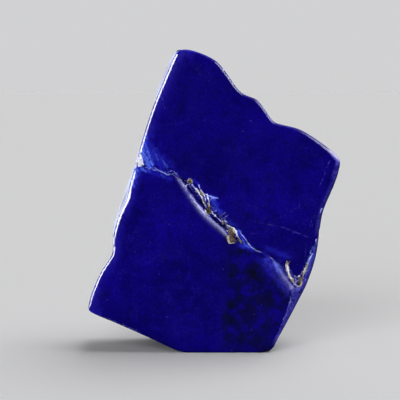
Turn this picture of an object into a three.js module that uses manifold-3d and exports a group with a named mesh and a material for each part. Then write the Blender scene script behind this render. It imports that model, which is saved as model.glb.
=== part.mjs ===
// A slab of lapis lazuli, ground to flat faces and polished, that stands on a small flat spot at its foot.
// Millimetres, +Z up. The polished front face looks along -Y, and the origin is under the middle of the stone.
// The stone is one solid. A seam of calcite and pyrite crosses its front face from the left side to the right
// one: the block below the seam rolls over into it, and the block above it ends in a broken ledge.

import * as THREE from "three";
import Module from "manifold-3d";
import { ImprovedNoise } from "three/addons/math/ImprovedNoise.js";
import { mergeVertices } from "three/addons/utils/BufferGeometryUtils.js";

const wasm = await Module();
wasm.setup();

// ---- Driving dimensions ----

const stoneHeight = 100;
const frontAt = -13; // the plane of the front face
const backAtFoot = 14.3; // the back face leans forwards: its depth at the foot
const backAtTip = 9.8; // and at the tip
const backDomeRadius = 800; // the back face is slightly domed
const backMiddle = [-2, 42]; // x and z of the dome's middle
const backLip = 3; // the width of the round along the back face's edge
const sideWaves = 0.6; // how far the sides wave in and out
const sideWaveSize = 9; // and how wide those waves are
const lapisBlue = 0x120a78;

// Once round the stone from the tip, clockwise as seen from the front: x and z of the side, the width of the
// round along the front face's edge, how far the side swells out halfway back, and how far the back face's
// edge lies inside the front one's.
const stations = [
  [-10.0, 99.9, 1.2, 0.2, 1.6], // the tip
  [-5.2, 98.9, 1.2, 0.2, 1.8],
  [0.4, 96.1, 1.2, 0.4, 2.4],
  [3.6, 92.5, 1.2, 0.2, 2.8],
  [7.7, 86.8, 1.2, 0.0, 2.4],
  [9.8, 85.3, 1.2, -0.3, 1.6], // the upper hollow of the right shoulder
  [13.3, 83.9, 1.2, 0.0, 2.2],
  [15.7, 81.3, 1.2, 0.3, 3.2],
  [19.0, 76.8, 1.3, -0.2, 2.6],
  [20.8, 75.9, 1.4, -0.3, 1.8], // the lower hollow
  [27.2, 74.2, 1.6, 0.2, 2.0],
  [33.2, 70.7, 1.8, 0.4, 2.6],
  [39.0, 66.2, 2.4, 0.6, 3.0],
  [41.2, 63.4, 3.4, 0.4, 2.8], // the right corner
  [40.9, 60.0, 4.4, 0.2, 2.0],
  [39.5, 55.3, 5.2, 0.0, 1.2],
  [36.0, 46.8, 5.2, -0.2, 0.4],
  [34.9, 41.0, 5.0, 0.0, 0.6],
  [33.6, 31.4, 5.0, 0.2, 1.4],
  [30.5, 22.0, 4.6, 0.2, 2.0],
  [27.5, 16.3, 3.6, 0.0, 1.6],
  [24.3, 10.4, 2.8, 0.0, 1.2],
  [20.9, 4.4, 2.2, 0.0, 0.9],
  [18.4, 0.7, 1.8, 0.5, 0.7], // the foot's right end
  [8.3, 0.2, 1.2, 1.2, 0.4],
  [-4.9, 0.2, 1.2, 1.2, 0.4],
  [-10.4, 0.3, 1.2, 1.0, 0.4], // the foot's left end
  [-13.2, 1.1, 1.2, 0.6, 0.4],
  [-21.9, 5.1, 1.0, 0.3, 0.8],
  [-33.1, 10.1, 1.0, 0.0, 1.0],
  [-39.4, 12.8, 1.0, 0.2, 0.8],
  [-41.6, 14.3, 1.0, 0.2, 0.8], // the left corner
  [-41.4, 17.2, 1.0, 0.2, 1.0],
  [-39.5, 22.7, 1.2, 0.4, 1.4],
  [-37.4, 27.2, 1.2, 0.4, 1.6],
  [-34.0, 32.5, 1.2, 0.2, 1.0],
  [-33.5, 34.8, 1.2, 0.4, 0.6], // the hollow of the left side
  [-33.0, 40.0, 1.2, 1.2, 0.2],
  [-31.0, 46.4, 1.4, 1.0, 0.0],
  [-28.5, 51.3, 1.4, 1.8, -0.4],
  [-27.9, 55.0, 1.4, 1.3, -0.2],
  [-26.4, 60.8, 1.4, 0.6, 0.4],
  [-23.5, 71.2, 1.2, 0.4, 0.4],
  [-21.1, 78.5, 1.2, 0.4, -0.2],
  [-18.5, 85.2, 1.2, 0.5, -0.8],
  [-15.8, 91.4, 1.2, 0.6, -0.9],
  [-13.4, 96.9, 1.2, 1.0, 0.4],
  [-12.1, 99.0, 1.2, 1.0, 1.0],
];
const stepsPerStation = 3;
const frontRoundSteps = 5;
const backRoundSteps = 4;
const sideShares = [0.3, 0.5, 0.7]; // where a column's points lie between its two rounds
const backRingShares = [0.75, 0.4]; // how far out the rings inside the back face lie

// The seam across the front, from the left side to the right one: x and z of its crevice, the width of the
// broken ledge above it, the crevice's depth, and the width of the lower block's roll-over.
const seam = [
  [-30.0, 63.4, 0.8, 1.6, 1.0],
  [-25.8, 62.5, 0.9, 1.4, 1.2], // the left side
  [-22.5, 61.3, 0.4, 0.7, 0.8],
  [-17.0, 60.2, 0.4, 0.7, 0.6],
  [-12.7, 59.0, 0.6, 1.2, 0.9],
  [-9.6, 55.9, 1.3, 2.2, 1.5],
  [-6.2, 51.2, 2.0, 3.0, 2.3],
  [-2.2, 46.7, 2.3, 3.3, 2.8], // the widest part of the trough
  [2.8, 42.0, 1.9, 3.2, 2.6],
  [6.4, 38.3, 1.4, 2.4, 1.7],
  [10.2, 36.3, 0.7, 1.3, 0.9],
  [14.6, 34.0, 0.5, 0.9, 0.7],
  [18.0, 32.3, 0.5, 0.9, 1.2],
  [21.4, 29.4, 0.8, 1.7, 2.2],
  [23.6, 25.4, 0.9, 2.3, 2.3],
  [26.6, 22.3, 0.9, 2.6, 1.8], // the point of the upper block
  [29.0, 24.4, 0.7, 2.7, 0.9],
  [30.2, 28.8, 0.6, 2.8, 0.8],
  [32.0, 33.4, 0.5, 3.2, 0.7],
  [34.2, 37.6, 0.5, 4.4, 0.6],
  [37.0, 42.6, 0.5, 7.0, 0.6],
];
const stepsPerSeamPoint = 4;
const creviceHalfWidth = 0.15;
const ledgeRaggedness = 0.45; // how much the ledge's width varies, as a share of it
const ledgeRaggedSize = 1.3;

// The seam runs through the whole stone, and comes out on the sides and the back as a shallow groove.
const grooveMiddle = [5, 0, 52]; // the middle of the slanting plane that it runs in
const grooveFall = -0.33; // how far that plane drops for each millimetre to the right
const grooveStart = -17; // degrees round the middle, from the right side over the back
const grooveEnd = 202; // to the left side
const grooveStep = 9;
const grooveRadius = 0.9;
const grooveWander = 3; // how far it wanders up and down
const grooveLift = 0.3; // how far outside the surface the middle of its round section lies

// Lumps of calcite and pyrite on the ledge: x and z, depth below the front face, half the length and half the
// width, and the turn of the length from +X towards +Z in degrees.
const lumps = [
  [-8.1, 56.7, 0.9, 1.0, 0.9, 0], // the nub at the head of the trough
  [-6.3, 54.2, 1.1, 1.9, 0.7, -58],
  [-3.9, 50.9, 1.1, 1.8, 0.6, -72],
  [-4.2, 53.9, 0.7, 1.6, 0.5, -62],
  [-2.4, 49.2, 0.9, 1.6, 0.6, -80],
  [-0.5, 46.4, 1.3, 1.5, 0.9, -40],
  [2.6, 43.7, 1.1, 1.0, 0.7, -40],
  [5.2, 40.5, 1.0, 1.8, 1.0, -70], // the pyrite at the foot of the trough
  [6.0, 38.3, 1.1, 1.3, 0.9, -50],
  [23.4, 28.2, 1.0, 2.0, 0.6, -80],
  [25.0, 24.1, 1.3, 1.5, 0.7, -50],
  [27.2, 22.9, 1.5, 1.1, 0.7, 10],
  [28.7, 25.6, 1.6, 1.6, 0.6, 70],
];
const lumpHalfThickness = 0.9;
const lumpSink = 0.3; // how far below its stated depth a lump's middle lies
const lumpRoughness = 0.5; // how far a lump's points stray, as a share of its size
const lumpRoughSize = 0.7;

// ---- Small helpers ----

const noise = new ImprovedNoise();

// A smooth value between about -1 and 1 at a point, with swells of about size millimetres.
const unevenness = (p, size, shift = 0) =>
  noise.noise(p.x / size + shift, p.y / size + shift, p.z / size - shift);

// The depth of the back face at a point of its outline or inside it.
function backAt({ x, z }) {
  const [middleX, middleZ] = backMiddle;
  const fall = ((x - middleX) ** 2 + (z - middleZ) ** 2) / (2 * backDomeRadius);
  return THREE.MathUtils.lerp(backAtFoot, backAtTip, z / stoneHeight) - fall;
}

// The middle of a ring of points.
const middleOf = (ring) =>
  ring.reduce((sum, p) => sum.add(p), new THREE.Vector3()).divideScalar(ring.length);

// A closed surface through rings of points, each with as many points as the next. A fan of triangles closes
// each end at its pole.
function lofted(rings, firstPole, lastPole) {
  const around = rings[0].length;
  const poleIndex = rings.length * around;
  const lastRing = poleIndex - around;
  const index = [];
  for (let i = 0; i < around; i++) {
    const next = (i + 1) % around;
    index.push(next, i, poleIndex);
    for (let start = 0; start < lastRing; start += around) {
      index.push(start + i, start + next, start + around + i);
      index.push(start + next, start + around + next, start + around + i);
    }
    index.push(lastRing + i, lastRing + next, poleIndex + 1);
  }
  return new THREE.BufferGeometry().setFromPoints([...rings.flat(), firstPole, lastPole]).setIndex(index);
}

// A manifold solid from a three.js geometry.
function solidOf(geometry) {
  const bare = geometry.clone();
  bare.deleteAttribute("normal");
  bare.deleteAttribute("uv");
  const merged = mergeVertices(bare, 1e-4);
  const mesh = new wasm.Mesh({
    numProp: 3,
    vertProperties: merged.getAttribute("position").array,
    triVerts: new Uint32Array(merged.index.array),
  });
  return new wasm.Manifold(mesh);
}

// A three.js geometry from a manifold solid.
function geometryOf(solid) {
  const mesh = solid.getMesh();
  const geometry = new THREE.BufferGeometry();
  geometry.setAttribute("position", new THREE.BufferAttribute(mesh.vertProperties, 3));
  geometry.setIndex(new THREE.BufferAttribute(mesh.triVerts, 1));
  geometry.computeVertexNormals();
  return geometry;
}

// ---- The slab ----

// The columns round the stone: a place on its side with what the stations say there.
function columnsRound() {
  const closed = true;
  const outline = new THREE.CatmullRomCurve3(
    stations.map(([x, z]) => new THREE.Vector3(x, 0, z)), closed, "centripetal");
  const figures = new THREE.CatmullRomCurve3(
    stations.map(([, , lip, swell, inset]) => new THREE.Vector3(lip, swell, inset)), closed, "centripetal");
  const count = stations.length * stepsPerStation;
  const span = 3.5; // columns either way that the outward direction is averaged over
  return Array.from({ length: count }, (_, i) => {
    const at = outline.getPoint(i / count);
    const ahead = outline.getPoint(((i + span) / count) % 1);
    const behind = outline.getPoint(((i - span) / count + 1) % 1);
    const along = ahead.sub(behind);
    const fromMiddle = new THREE.Vector3(at.x - backMiddle[0], 0, at.z - backMiddle[1]).normalize();
    const outward = new THREE.Vector3(-along.z, 0, along.x).normalize().add(fromMiddle).normalize();
    const { x: lip, y: swell, z: inset } = figures.getPoint(i / count);
    return { at, outward, lip, swell, inset };
  });
}

// The points down one column, from the front face's flat over the side to the back face.
function columnPoints({ at, outward, lip, swell, inset }) {
  const place = (inwards, y) => at.clone().addScaledVector(outward, -inwards).setY(y);
  const backY = backAt(at);
  const depth = backY - frontAt;
  const front = place(0, frontAt);
  const back = place(inset, backY);
  const bend = place(inset / 2 - 2 * swell, (frontAt + backY) / 2);
  const side = new THREE.QuadraticBezierCurve3(front, bend, back);
  const sideStart = Math.min(lip, depth / 3) / depth;
  const sideEnd = 1 - backLip / depth;
  const frontRound = new THREE.QuadraticBezierCurve3(place(lip, frontAt), front, side.getPoint(sideStart));
  const backEnd = place(inset + backLip, 0);
  backEnd.setY(backAt(backEnd));
  const backRound = new THREE.QuadraticBezierCurve3(side.getPoint(sideEnd), back, backEnd);
  const middle = sideShares.map((share) => {
    const p = side.getPoint(THREE.MathUtils.lerp(sideStart, sideEnd, share));
    return p.addScaledVector(outward, sideWaves * unevenness(p, sideWaveSize, 5));
  });
  return [...frontRound.getPoints(frontRoundSteps), ...middle, ...backRound.getPoints(backRoundSteps)];
}

// The rings shrink to the middle of the back face.
function slab() {
  const columns = columnsRound().map(columnPoints);
  const rings = columns[0].map((_, ring) => columns.map((points) => points[ring]));
  const edge = rings.at(-1);
  const [x, z] = backMiddle;
  const backPole = new THREE.Vector3(x, backAt({ x, z }), z);
  for (const share of backRingShares) {
    rings.push(edge.map((p) => {
      const inner = backPole.clone().lerp(p, share);
      return inner.setY(backAt(inner));
    }));
  }
  return lofted(rings, middleOf(rings[0]), backPole);
}

// ---- The seam ----

// The space that the seam leaves open at the front. Its section is given by pairs of distance across the seam,
// towards the lower block, and depth below the front face.
function seamOpening() {
  const line = new THREE.CatmullRomCurve3(seam.map(([x, z]) => new THREE.Vector3(x, frontAt, z)));
  const figures = new THREE.CatmullRomCurve3(
    seam.map(([, , ledge, depth, roll]) => new THREE.Vector3(ledge, depth, roll)));
  const steps = (seam.length - 1) * stepsPerSeamPoint;
  const proud = 1.5; // how far the section stands out in front of the face
  const rings = Array.from({ length: steps + 1 }, (_, i) => {
    const at = line.getPoint(i / steps);
    const along = line.getTangent(i / steps);
    const across = new THREE.Vector3(along.z, 0, -along.x);
    const { x: ledge, y: depth, z: roll } = figures.getPoint(i / steps);
    const ragged = (shift) => ledge * (1 + ledgeRaggedness * unevenness(at, ledgeRaggedSize, shift));
    const rollDepth = 0.6 * depth;
    const section = [
      [roll + 0.2, -proud],
      ...[16, 32, 50, 70, 90].map((degrees) => {
        const turn = THREE.MathUtils.degToRad(degrees);
        return [roll - (roll - creviceHalfWidth) * Math.sin(turn), rollDepth * (1 - Math.cos(turn))];
      }),
      [creviceHalfWidth, 0.8 * depth],
      [0, depth],
      [-creviceHalfWidth, 0.85 * depth],
      [-0.4 * ragged(12), 0.5 * depth],
      [-0.7 * ragged(7), 0.35 * depth],
      [-ragged(2), 0.1 * depth],
      [-ragged(2) - 0.1, -proud],
    ];
    return section.map(([far, deep]) => at.clone().addScaledVector(across, far).setY(frontAt + deep));
  });
  return lofted(rings, middleOf(rings[0]), middleOf(rings.at(-1)));
}

// The groove where the seam comes out on the left side, the back and the right side. Rays that run in towards
// the seam's middle find the stone's surface.
function seamGroove(stone) {
  const middle = new THREE.Vector3(...grooveMiddle);
  const right = new THREE.Vector3(1, 0, grooveFall).normalize();
  const up = new THREE.Vector3(-grooveFall, 0, 1).normalize();
  const reach = 2 * stoneHeight;
  const points = [];
  for (let degrees = grooveStart; degrees <= grooveEnd; degrees += grooveStep) {
    const turn = THREE.MathUtils.degToRad(degrees);
    const outward = new THREE.Vector3(0, Math.sin(turn), 0).addScaledVector(right, Math.cos(turn));
    const start = middle.clone().addScaledVector(outward, reach);
    start.addScaledVector(up, grooveWander * unevenness(outward, 0.35, 3));
    const [hit] = new THREE.Raycaster(start, outward.clone().negate()).intersectObject(stone);
    points.push(hit.point.addScaledVector(outward, grooveLift));
  }
  const round = new THREE.Shape().absarc(0, 0, grooveRadius, 0, 2 * Math.PI);
  return new THREE.ExtrudeGeometry(round, {
    extrudePath: new THREE.CatmullRomCurve3(points),
    steps: 3 * points.length,
    curveSegments: 3,
  });
}

// One rough lump, lengthwise along the seam.
function lump([x, z, below, halfLength, halfWidth, degrees]) {
  const geometry = new THREE.IcosahedronGeometry(1, 1);
  const position = geometry.getAttribute("position");
  const p = new THREE.Vector3();
  for (let i = 0; i < position.count; i++) {
    p.fromBufferAttribute(position, i);
    p.multiplyScalar(1 + lumpRoughness * unevenness(p, lumpRoughSize, x));
    position.setXYZ(i, p.x, p.y, p.z);
  }
  geometry.scale(halfLength, lumpHalfThickness, halfWidth);
  geometry.rotateY(-THREE.MathUtils.degToRad(degrees));
  return geometry.translate(x, frontAt + below + lumpSink, z);
}

// ---- The stone ----

// The flat spot that the stone stands on is ground at z = 0.
function ground() {
  const side = 2 * stoneHeight;
  return new THREE.BoxGeometry(side, side, stoneHeight).translate(0, 0, -stoneHeight / 2);
}

const blank = slab();
const groove = seamGroove(new THREE.Mesh(blank));
let solid = solidOf(blank).subtract(solidOf(seamOpening())).subtract(solidOf(groove));
for (const each of lumps) solid = solid.add(solidOf(lump(each)));
solid = solid.subtract(solidOf(ground()));


const material = new THREE.MeshStandardMaterial({ color: lapisBlue, roughness: 0.15, metalness: 0 });
const stone = new THREE.Mesh(geometryOf(solid), material);
stone.name = "lapis_stone";

const part = new THREE.Group();
part.add(stone);

export default part;
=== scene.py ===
import itertools
import math

import bmesh
import bpy
import numpy as np
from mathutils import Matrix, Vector
from mathutils.kdtree import KDTree


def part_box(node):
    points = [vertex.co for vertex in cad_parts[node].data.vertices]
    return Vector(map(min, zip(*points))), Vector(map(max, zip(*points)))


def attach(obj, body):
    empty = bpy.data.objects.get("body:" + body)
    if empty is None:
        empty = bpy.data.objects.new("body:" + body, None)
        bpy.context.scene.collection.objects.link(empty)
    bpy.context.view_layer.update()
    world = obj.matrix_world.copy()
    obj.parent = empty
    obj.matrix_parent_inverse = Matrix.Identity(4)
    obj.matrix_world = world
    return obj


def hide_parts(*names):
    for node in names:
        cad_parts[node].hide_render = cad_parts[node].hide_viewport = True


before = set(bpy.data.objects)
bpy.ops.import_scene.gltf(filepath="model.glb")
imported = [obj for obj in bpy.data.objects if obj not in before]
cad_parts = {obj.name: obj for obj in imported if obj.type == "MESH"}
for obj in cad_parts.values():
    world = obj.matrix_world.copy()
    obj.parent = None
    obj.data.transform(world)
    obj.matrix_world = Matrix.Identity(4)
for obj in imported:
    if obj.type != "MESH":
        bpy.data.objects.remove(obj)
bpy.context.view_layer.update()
low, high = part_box("lapis_stone")
mm = 0.001
scene = bpy.context.scene
scene.view_settings.view_transform = "Standard"
print("frame loaded: the stone is", [round(side / mm, 1) for side in high - low], "mm")

# Places on the stone are pairs of millimetres: x to the right and z up, as seen from the front.
# The front face is the plane at the low end of y.

# From the left side to the right one: x and z of the crevice, the width of the broken ledge above it, the
# crevice's depth, and the width of the lower block's roll-over.
seam = [
    (-30.0, 63.4, 0.8, 1.6, 1.0),
    (-25.8, 62.5, 0.9, 1.4, 1.2),
    (-22.5, 61.3, 0.4, 0.7, 0.8),
    (-17.0, 60.2, 0.4, 0.7, 0.6),
    (-12.7, 59.0, 0.6, 1.2, 1.2),
    (-9.6, 55.9, 1.3, 2.2, 1.9),
    (-6.2, 51.2, 2.0, 3.0, 2.4),
    (-2.2, 46.7, 2.3, 3.3, 2.8),
    (2.8, 42.0, 1.9, 3.2, 2.6),
    (6.4, 38.3, 1.4, 2.4, 1.7),
    (10.2, 36.3, 0.7, 1.3, 0.9),
    (14.6, 34.0, 0.5, 0.9, 0.7),
    (18.0, 32.3, 0.5, 0.9, 0.9),
    (21.4, 29.4, 0.8, 1.7, 1.4),
    (23.6, 25.4, 0.9, 2.3, 1.6),
    (26.6, 22.3, 0.9, 2.6, 1.4),
    (29.0, 24.4, 0.7, 2.7, 0.9),
    (30.2, 28.8, 0.6, 2.8, 0.8),
    (32.0, 33.4, 0.5, 3.2, 0.7),
    (34.2, 37.6, 0.5, 4.4, 0.6),
    (37.0, 42.6, 0.5, 7.0, 0.6),
]

# Marks of calcite, ochre and other minerals on the seam and beside it, and marks of painted shade, painted
# sheen
# and painted highlights: the kind, half the stroke's width, its strength, how far it stands proud of the
# stone, and the places that the stroke runs through.
marks = [
    # the patch on the left edge and the azure round it
    ("calcite", 0.9, 1.0, 0, [(-25.4, 64.8), (-24.5, 63.4), (-24.8, 62.7)]),
    ("calcite", 0.45, 0.8, 0, [(-24.9, 66.4), (-24.0, 64.6), (-23.5, 62.6)]),
    ("calcite", 0.5, 0.9, 0, [(-26.0, 61.9), (-25.6, 63.4)]),
    ("cream", 0.22, 0.8, 0, [(-23.7, 63.5), (-23.6, 63.0)]),
    ("olive", 0.2, 0.6, 0, [(-24.5, 65.0), (-24.3, 64.6)]),
    ("olive", 0.16, 0.6, 0, [(-23.9, 62.4), (-23.5, 62.2)]),
    ("azure", 1.5, 1.0, 0, [(-23.0, 71.5), (-22.8, 67.0), (-21.8, 64.0), (-21.0, 62.2)]),
    ("azure", 2.6, 0.6, 0, [(-22.0, 69.0), (-19.8, 65.6), (-17.4, 62.6)]),
    ("azure", 1.1, 0.5, 0, [(-18.2, 65.2), (-16.2, 62.6), (-14.8, 60.8)]),
    ("azure", 1.2, 0.3, 0, [(-14.6, 63.4), (-13.6, 61.2)]),
    ("pale", 0.9, 1.0, 0, [(-23.8, 66.8), (-23.0, 65.2), (-22.4, 63.4), (-22.2, 62.4)]),
    ("pale", 0.6, 0.6, 0, [(-22.6, 68.4), (-21.5, 65.2), (-20.4, 63.0)]),
    ("pale", 0.16, 0.4, 0, [(-17.6, 64.8), (-16.8, 63.6), (-16.2, 62.3)]),
    ("pale", 0.16, 0.3, 0, [(-19.4, 66.0), (-18.6, 64.4), (-18.4, 63.0)]),
    ("azure", 1.6, 0.9, 0, [(-25.6, 61.0), (-26.6, 58.6), (-27.4, 55.5)]),
    ("pale", 0.75, 0.7, 0, [(-25.8, 61.0), (-26.9, 58.8), (-27.6, 56.4)]),
    ("azure", 1.0, 0.75, 0, [(-25.8, 61.0), (-23.6, 60.9), (-20.8, 60.2)]),
    ("azure", 0.9, 0.4, 0, [(-20.8, 59.8), (-17.0, 58.6), (-14.6, 58.0)]),
    ("azure", 1.1, 0.45, 0, [(-27.8, 55.0), (-28.8, 50.6), (-30.8, 46.0), (-31.8, 42.0), (-32.4, 37.0)]),
    # the thin crack
    ("pale", 0.35, 0.4, 0, [(-23.4, 61.6), (-19.4, 60.9), (-15.8, 59.3), (-12.8, 59.4)]),
    ("vein", 0.13, 0.8, 0, [(-22.7, 61.5), (-22.1, 61.4)]),
    ("vein", 0.12, 0.7, 0, [(-21.6, 61.0), (-21.1, 61.4)]),
    ("vein", 0.15, 0.9, 0, [(-22.5, 60.5)]),
    ("vein", 0.11, 0.6, 0, [(-20.3, 60.8), (-19.5, 60.6), (-18.7, 60.9)]),
    ("vein", 0.14, 0.9, 0, [(-19.6, 61.5), (-18.6, 60.8), (-17.6, 60.3), (-16.6, 59.8), (-15.8, 59.3),
                              (-15.3, 59.2)]),
    ("vein", 0.11, 0.7, 0, [(-15.4, 59.2), (-14.6, 59.5), (-14.3, 59.2)]),
    ("vein", 0.11, 0.7, 0, [(-14.1, 59.5), (-13.6, 59.6)]),
    ("vein", 0.1, 0.6, 0, [(-15.4, 59.8), (-15.1, 60.2)]),
    ("vein", 0.1, 0.6, 0, [(-14.6, 60.3), (-14.1, 60.6), (-13.9, 60.3)]),
    ("vein", 0.11, 0.7, 0, [(-13.4, 60.3), (-13.0, 59.8), (-12.6, 59.3)]),
    ("vein", 0.09, 0.5, 0, [(-16.6, 59.8), (-16.2, 60.2)]),
    ("azure", 0.3, 0.5, 0, [(-17.9, 59.4), (-16.4, 58.8), (-15.2, 58.2)]),
    ("soot", 0.34, 0.5, 0, [(-15.2, 61.4), (-13.4, 61.0)]),
    # painted sheen on the lower block's roll-over, and a near-white painted highlight along its upper edge
    ("haze", 0.6, 0.9, 0, [(-12.5, 59.1), (-11.5, 57.4), (-10.6, 55.8)]),
    ("haze", 0.9, 0.65, 0, [(-10.2, 55.6), (-8.2, 52.4), (-6.0, 49.6), (-3.8, 47.0)]),
    ("haze", 0.8, 0.55, 0, [(-3.8, 46.8), (-1.4, 44.7), (1.0, 42.7), (3.0, 40.9), (4.2, 39.6)]),
    ("glare", 0.36, 0.9, 0, [(-7.9, 52.3), (-6.3, 50.2), (-4.8, 48.1), (-3.4, 46.5)]),
    ("glare", 0.3, 0.5, 0, [(-11.6, 58.0), (-10.2, 55.8), (-9.2, 54.2)]),
    # the head of the trough: a nub with a hollow, and painted shade in the hollow and in the crevice beside
    # it
    ("calcite", 0.22, 0.7, 0.1, [(-10.2, 55.2), (-9.6, 55.3), (-8.9, 55.9)]),
    ("cream", 0.88, 1.0, 0.2, [(-8.3, 56.9)]),
    ("ochre", 0.3, 0.8, 0, [(-8.1, 57.8), (-7.6, 57.5)]),
    ("hole", 0.72, 1.0, -0.5, [(-8.25, 56.9)]),
    ("soot", 0.32, 0.9, -0.3, [(-8.25, 56.9)]),
    ("soot", 0.4, 0.6, -0.3, [(-11.6, 58.5), (-10.4, 57.4), (-9.6, 56.6)]),
    # painted shade in the hollows between the roll-over and the ridges
    ("soot", 0.2, 0.5, -0.5, [(-8.5, 54.9), (-6.9, 52.8), (-5.4, 50.9)]),
    ("soot", 0.3, 0.75, -0.6, [(-4.9, 50.6), (-4.1, 49.2), (-3.5, 48.2)]),
    ("soot", 0.28, 0.75, -0.7, [(-0.9, 45.0), (0.8, 43.5), (2.2, 42.3), (3.8, 41.1)]),
    # the ridges above them
    ("olive", 0.34, 0.7, 0.1, [(-4.9, 53.6), (-4.3, 52.4), (-3.9, 51.0), (-3.3, 49.6)]),
    ("vein", 0.26, 0.9, 0.3, [(-7.4, 55.9), (-6.8, 55.2), (-6.2, 54.6)]),
    ("calcite", 0.24, 0.85, 0.35, [(-6.4, 54.7), (-5.5, 53.8), (-4.8, 52.6), (-4.3, 51.6), (-3.9, 50.3),
                                   (-3.1, 48.9), (-2.7, 48.2)]),
    ("vein", 0.22, 0.9, 0.2, [(-5.3, 55.8), (-4.9, 54.9)]),
    ("cream", 0.26, 0.85, 0.25, [(-4.9, 54.6), (-4.4, 53.4), (-3.8, 52.4)]),
    ("calcite", 0.18, 0.85, 0.3, [(-4.6, 54.2), (-3.8, 53.2), (-3.3, 52.1), (-3.1, 51.2)]),
    ("azure", 1.0, 0.8, 0, [(-2.9, 52.0), (-1.4, 51.6), (0.0, 51.4)]),
    ("pale", 0.55, 1.0, 0, [(-2.2, 52.0), (-1.4, 51.6), (-0.6, 51.5)]),
    ("vein", 0.16, 1.0, 0.2, [(-3.4, 52.9), (-2.2, 52.4), (-0.8, 51.9), (1.2, 51.4)]),
    ("vein", 0.13, 0.8, 0.1, [(-0.4, 51.6), (-1.2, 51.2), (-1.8, 50.4)]),
    ("calcite", 0.2, 0.85, 0.25, [(-2.6, 52.7), (-2.1, 51.4), (-2.0, 50.2), (-1.8, 49.2)]),
    ("cream", 0.46, 0.9, 0.2, [(-2.2, 49.7), (-1.8, 48.8)]),
    # the pit, with painted shade in it, and the white beside it
    ("hole", 0.8, 1.0, -0.3, [(-2.3, 47.9), (-1.9, 46.8)]),
    ("soot", 0.28, 0.5, -0.5, [(-2.0, 47.2)]),
    ("calcite", 0.24, 0.9, 0.2, [(-3.2, 47.3), (-2.7, 46.1), (-1.9, 45.6)]),
    ("calcite", 0.3, 1.0, 0.3, [(-1.1, 46.9), (-0.3, 46.0), (0.5, 45.3)]),
    ("vein", 0.13, 0.9, 0.1, [(0.5, 45.2), (1.4, 44.3), (2.0, 43.7)]),
    # the ridge down to the ochre patch
    ("cream", 0.55, 0.9, 0.3, [(2.6, 43.3)]),
    ("hole", 0.26, 1.0, 0, [(2.7, 43.3)]),
    ("vein", 0.14, 0.9, 0.1, [(2.9, 44.2), (3.9, 43.6)]),
    ("cream", 0.17, 0.9, 0.2, [(3.3, 43.2), (4.1, 42.5), (4.6, 41.8)]),
    ("ochre", 0.95, 1.0, 0.25, [(5.0, 41.0), (5.6, 39.0), (5.7, 37.7)]),
    ("calcite", 0.34, 0.9, 0.3, [(4.2, 42.2), (5.3, 42.0), (6.4, 41.5), (7.0, 40.4), (7.2, 39.4)]),
    ("cream", 0.42, 0.9, 0.2, [(6.1, 41.2), (6.6, 40.2)]),
    ("cream", 0.36, 0.9, 0.3, [(4.3, 38.9), (4.4, 37.6), (5.0, 36.7), (6.0, 36.9)]),
    ("calcite", 0.22, 0.7, 0.1, [(7.1, 40.2), (7.6, 38.8), (8.4, 37.6)]),
    ("olive", 0.45, 0.7, 0.1, [(7.3, 39.0), (8.4, 37.4), (8.8, 36.8)]),
    ("azure", 0.9, 1.0, 0, [(7.7, 40.6), (8.8, 38.4), (9.8, 36.6)]),
    ("azure", 1.0, 0.8, 0, [(8.6, 35.9), (10.4, 35.4), (12.0, 34.7)]),
    ("pale", 0.4, 0.7, 0, [(9.2, 37.6), (9.8, 36.2), (11.2, 35.4)]),
    ("pale", 0.32, 0.6, 0, [(8.0, 40.7), (9.0, 39.2), (10.2, 37.7), (11.4, 35.8), (13.4, 34.2)]),
    ("vein", 0.13, 0.9, 0, [(8.4, 40.1), (10.3, 37.6), (11.4, 35.9), (12.6, 34.9), (13.8, 34.2),
                              (15.3, 33.5)]),
    # brighter blue beside the ledge
    ("azure", 1.1, 0.9, 0, [(-0.6, 50.9), (0.4, 48.8), (1.6, 46.8)]),
    ("azure", 0.6, 0.6, 0, [(-6.6, 57.3), (-5.2, 56.0)]),
    ("azure", 0.8, 0.5, 0, [(4.9, 43.6), (6.9, 42.4)]),
    ("azure", 0.5, 0.4, 0, [(2.6, 46.6), (4.2, 45.0)]),
    ("azure", 1.1, 0.4, 0, [(17.0, 34.9), (19.6, 34.2), (22.0, 33.0), (24.0, 31.8)]),
    ("azure", 0.8, 0.4, 0, [(15.6, 33.6), (17.4, 32.2), (20.0, 30.6)]),
    # two thin painted highlights
    ("glare", 0.11, 0.4, 0, [(1.5, 45.4), (3.3, 46.8)]),
    ("glare", 0.11, 0.4, 0, [(2.5, 44.7), (4.4, 46.1)]),
    # the notch on the right, with painted sheen and painted highlights along its lower wall and painted shade
    # in its hollows
    ("haze", 1.15, 0.95, 0, [(20.2, 29.4), (21.8, 27.8), (22.9, 26.0), (24.2, 23.8), (25.5, 22.0)]),
    ("haze", 1.9, 0.28, 0, [(17.2, 31.0), (19.4, 28.6), (21.2, 25.8), (22.8, 23.2), (24.4, 21.0)]),
    ("azure", 1.2, 0.8, 0, [(16.6, 31.4), (18.8, 29.9), (20.8, 28.4), (21.6, 27.0)]),
    ("pale", 0.7, 0.6, 0, [(19.4, 29.9), (20.6, 28.8), (21.4, 27.4)]),
    ("glare", 0.5, 0.3, 0, [(21.6, 27.6), (22.4, 26.0), (23.2, 24.8)]),
    ("glare", 0.6, 0.32, 0, [(23.4, 25.0), (24.4, 23.4), (25.4, 22.0)]),
    ("haze", 0.5, 0.8, 0, [(24.9, 27.4), (25.5, 25.6), (26.5, 24.0)]),
    ("glare", 0.3, 0.45, 0, [(26.5, 24.9), (26.7, 24.0), (26.5, 23.2)]),
    ("azure", 1.9, 0.3, 0, [(15.4, 30.6), (18.0, 27.6), (21.0, 24.0), (24.0, 21.0)]),
    ("soot", 0.5, 0.7, -0.3, [(23.6, 30.8), (24.3, 30.5)]),
    ("olive", 0.3, 0.8, 0, [(23.4, 30.1), (24.2, 30.0)]),
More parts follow.
